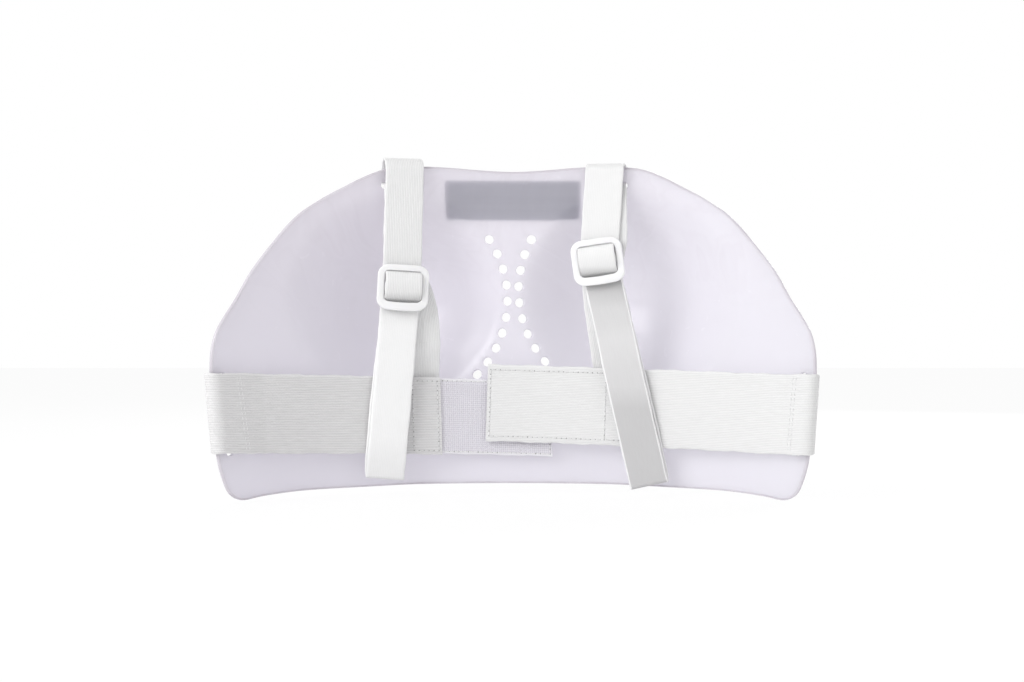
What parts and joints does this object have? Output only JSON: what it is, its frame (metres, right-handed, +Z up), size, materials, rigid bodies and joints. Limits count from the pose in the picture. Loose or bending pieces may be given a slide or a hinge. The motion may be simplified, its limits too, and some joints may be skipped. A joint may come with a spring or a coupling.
{
  "type": "chest guard",
  "caption": "Moulded chest guard for martial arts: translucent shell with two domes, elastic shoulder straps on slide adjusters, and a hook-and-loop waist band.",
  "frame": {"origin": "on the shell's inner face, on its centre line at mid height, where it rests on the breastbone", "axes": "+Z up towards the neck, +Y out of the wearer's chest, +X across the guard"},
  "size_m": [0.3836, 0.1101, 0.2175],
  "materials": {
    "shell": "glossy, translucent",
    "badge": "matte, blank",
    "elastic": "ribbed woven elastic",
    "hook": "hook tape",
    "loop": "brushed loop tape",
    "thread": "polyester thread",
    "adjuster": "satin moulded"
  },
  "bodies": {
    "shell": {"shell": "shell", "label_patch": "badge"},
    "left_band": {"left_waist_band": "elastic", "hook_tape": "hook", "left_side_seam": "thread", "left_anchor_seam": "thread", "hook_tape_seam": "thread", "left_strap_tail": "elastic"},
    "right_band": {"right_waist_band": "elastic", "loop_tape": "loop", "right_side_seam": "thread", "right_anchor_seam": "thread", "loop_tape_seam": "thread", "right_strap_tail": "elastic"},
    "left_strap": {"left_shoulder_strap": "elastic", "left_strap_rear_leg": "elastic", "left_strap_slack_fold": "elastic"},
    "right_strap": {"right_shoulder_strap": "elastic", "right_strap_rear_leg": "elastic", "right_strap_slack_fold": "elastic"},
    "left_adjuster": {"left_slide_adjuster": "adjuster", "left_strap_roll": "elastic", "left_strap_sewn_end": "elastic"},
    "right_adjuster": {"right_slide_adjuster": "adjuster", "right_strap_roll": "elastic", "right_strap_sewn_end": "elastic"}
  },
  "joints": [
    {"name": "right_band_swing", "type": "hinge", "parent": "shell", "child": "right_band", "pos_m": [0.18276, -0.07108, -0.0525], "axis": [0.0732, 0.0331, 0.9968], "range_deg": [0, 60]},
    {"name": "left_band_swing", "type": "hinge", "parent": "shell", "child": "left_band", "pos_m": [-0.18276, -0.07108, -0.0525], "axis": [0.0732, -0.0331, -0.9968], "range_deg": [0, 42]},
    {"name": "left_strap_lift", "type": "hinge", "parent": "shell", "child": "left_strap", "pos_m": [-0.0715, -0.0182, 0.1022], "axis": [-0.9693, -0.246, 0], "range_deg": [0, 60]},
    {"name": "right_strap_lift", "type": "hinge", "parent": "shell", "child": "right_strap", "pos_m": [0.0605, -0.01571, 0.1022], "axis": [-0.9804, 0.1969, 0], "range_deg": [0, 60]},
    {"name": "left_adjuster_slide", "type": "slide", "parent": "left_strap", "child": "left_adjuster", "axis": [0.0254, 0.0064, 0.9997], "range_m": [-0.01, 0.036], "stiffness_N_per_m": 12, "deforming": ["left_strap_rear_leg"]},
    {"name": "right_adjuster_slide", "type": "slide", "parent": "right_strap", "child": "right_adjuster", "axis": [0.065, -0.0131, 0.9978], "range_m": [-0.02, 0.018], "stiffness_N_per_m": 12, "deforming": ["right_strap_rear_leg"]}
  ],
  "couplings": [
    {"joint": "left_band_swing", "follows": "right_band_swing", "ratio": 0.7}
  ]
}
